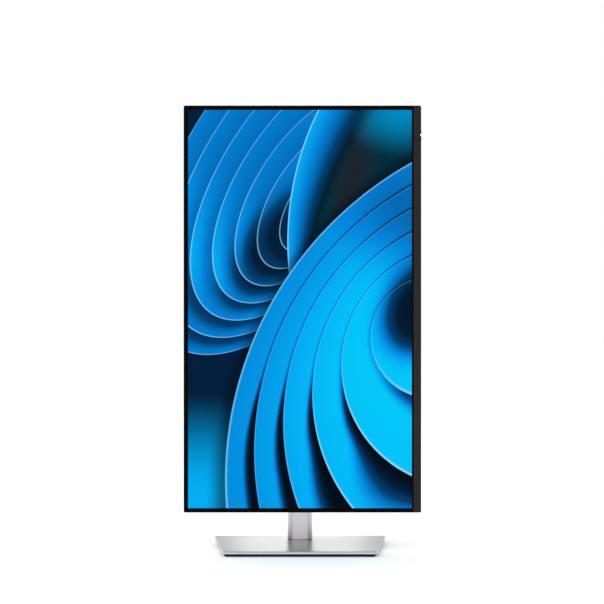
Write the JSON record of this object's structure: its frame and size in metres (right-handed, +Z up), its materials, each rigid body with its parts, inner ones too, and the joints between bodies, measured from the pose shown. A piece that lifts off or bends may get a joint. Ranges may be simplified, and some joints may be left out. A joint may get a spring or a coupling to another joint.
{
  "type": "computer monitor",
  "caption": "Flat-panel computer monitor in portrait, with a dark chin strip and a silver stand that lifts, tilts, swivels and pivots.",
  "frame": {"origin": "on the desk under the feet, on the axis that the stand swivels about", "axes": "+Z up, the screen faces -Y, +X to the right of someone facing the screen; shown in portrait with the chin at +X"},
  "size_m": [0.3143, 0.18, 0.5888],
  "materials": {
    "satin_silver": "satin",
    "silver_plastic": "satin",
    "black_steel": "matt",
    "rubber": "matt",
    "acetal": "matt",
    "black_plastic": "fine texture",
    "chin_plastic": "satin",
    "screen_glass": "semi-gloss, lit from behind",
    "white_film": "matt",
    "clear_acrylic": "clear",
    "lamp_board": "matt",
    "light_lens": "clear",
    "zinc_steel": "satin",
    "bright_steel": "satin",
    "brass": "satin",
    "circuit_board": "satin",
    "component_plastic": "matt",
    "socket_metal": "satin"
  },
  "bodies": {
    "base": {"base_cover": "satin_silver", "base_plate": "black_steel", "rubber_feet": "rubber", "swivel_washer": "acetal"},
    "column": {"swivel_hub": "bright_steel", "swivel_retainer": "bright_steel", "thumb_screw": "bright_steel", "riser_shell": "satin_silver", "riser_cap": "silver_plastic", "cable_liner": "silver_plastic", "slide_rails": "bright_steel", "spring_pin": "bright_steel"},
    "thumb_ring": {"thumb_ring": "bright_steel"},
    "spring_reel": {"spring_coil": "bright_steel"},
    "carriage": {"lift_carriage": "bright_steel", "slide_pads": "acetal", "spring_strip": "bright_steel", "tilt_bracket": "bright_steel", "bracket_screws": "bright_steel", "bracket_cover": "silver_plastic"},
    "tilt_head": {"tilt_yoke": "bright_steel", "tilt_shaft": "bright_steel", "tilt_washers": "bright_steel", "tilt_springs": "bright_steel", "tilt_nuts": "bright_steel", "head_cover": "silver_plastic"},
    "display": {"mount_plate": "bright_steel", "pivot_shaft": "bright_steel", "pivot_slip_ring": "acetal", "pivot_washer": "bright_steel", "pivot_nut": "bright_steel", "middle_frame": "black_plastic", "chin_strip": "chin_plastic", "power_led_lens": "light_lens", "lcd_panel": "screen_glass", "diffuser_films": "white_film", "reflector_sheet": "white_film", "light_guide": "clear_acrylic", "led_strip": "lamp_board", "backlight_tray": "zinc_steel", "panel_driver_board": "circuit_board", "rear_cover": "black_plastic", "board_bracket": "zinc_steel", "board_screws": "bright_steel", "vesa_bridge": "zinc_steel", "vesa_inserts": "brass", "main_board": "circuit_board", "power_board": "circuit_board", "scaler_shield": "zinc_steel", "power_components": "component_plastic", "video_sockets": "socket_metal", "usb_sockets": "socket_metal", "vga_socket": "socket_metal", "power_inlet": "component_plastic", "key_board": "circuit_board"},
    "power_button": {"power_button": "black_plastic"},
    "release_button": {"release_button": "black_plastic"},
    "joystick_gimbal": {"joystick_gimbal": "acetal"},
    "joystick": {"joystick_stem": "acetal"},
    "joystick_cap": {"joystick_cap": "black_plastic"}
  },
  "joints": [
    {"name": "swivel", "type": "hinge", "parent": "base", "child": "column", "pos_m": [0, 0, 0], "axis": [0, 0, 1], "range_deg": [-45, 45]},
    {"name": "thumb_ring_fold", "type": "hinge", "parent": "column", "child": "thumb_ring", "pos_m": [0, 0, 0.00145], "axis": [1, 0, 0], "range_deg": [0, 90]},
    {"name": "lift", "type": "slide", "parent": "column", "child": "carriage", "axis": [0, 0, 1], "range_m": [-0.038, 0.018]},
    {"name": "spring_reel_spin", "type": "hinge", "parent": "column", "child": "spring_reel", "pos_m": [0, 0.0084, 0.33], "axis": [-1, 0, 0], "range_deg": [-331, 157]},
    {"name": "tilt", "type": "hinge", "parent": "carriage", "child": "tilt_head", "pos_m": [0, -0.036, 0.32], "axis": [-1, 0, 0], "range_deg": [-5, 21]},
    {"name": "pivot", "type": "hinge", "parent": "tilt_head", "child": "display", "pos_m": [0, -0.05, 0.32], "axis": [0, -1, 0], "range_deg": [-180, 0]},
    {"name": "power_button_press", "type": "slide", "parent": "display", "child": "power_button", "axis": [-1, 0, 0], "range_m": [0, 0.0008], "stiffness_N_per_m": 1500},
    {"name": "release_button_press", "type": "slide", "parent": "display", "child": "release_button", "axis": [0, -1, 0], "range_m": [0, 0.0025], "stiffness_N_per_m": 1200},
    {"name": "joystick_side_to_side", "type": "hinge", "parent": "display", "child": "joystick_gimbal", "pos_m": [0.134, -0.0768, 0.545], "axis": [0, 0, 1], "range_deg": [-6, 6], "stiffness_Nm_per_rad": 0.05},
    {"name": "joystick_up_and_down", "type": "hinge", "parent": "joystick_gimbal", "child": "joystick", "pos_m": [0.134, -0.0768, 0.545], "axis": [1, 0, 0], "range_deg": [-6, 6], "stiffness_Nm_per_rad": 0.05},
    {"name": "joystick_press", "type": "slide", "parent": "joystick", "child": "joystick_cap", "axis": [0, -1, 0], "range_m": [0, 0.0005], "stiffness_N_per_m": 1500}
  ],
  "couplings": [
    {"joint": "spring_reel_spin", "follows": "lift", "rad_per_m": 151.51}
  ]
}
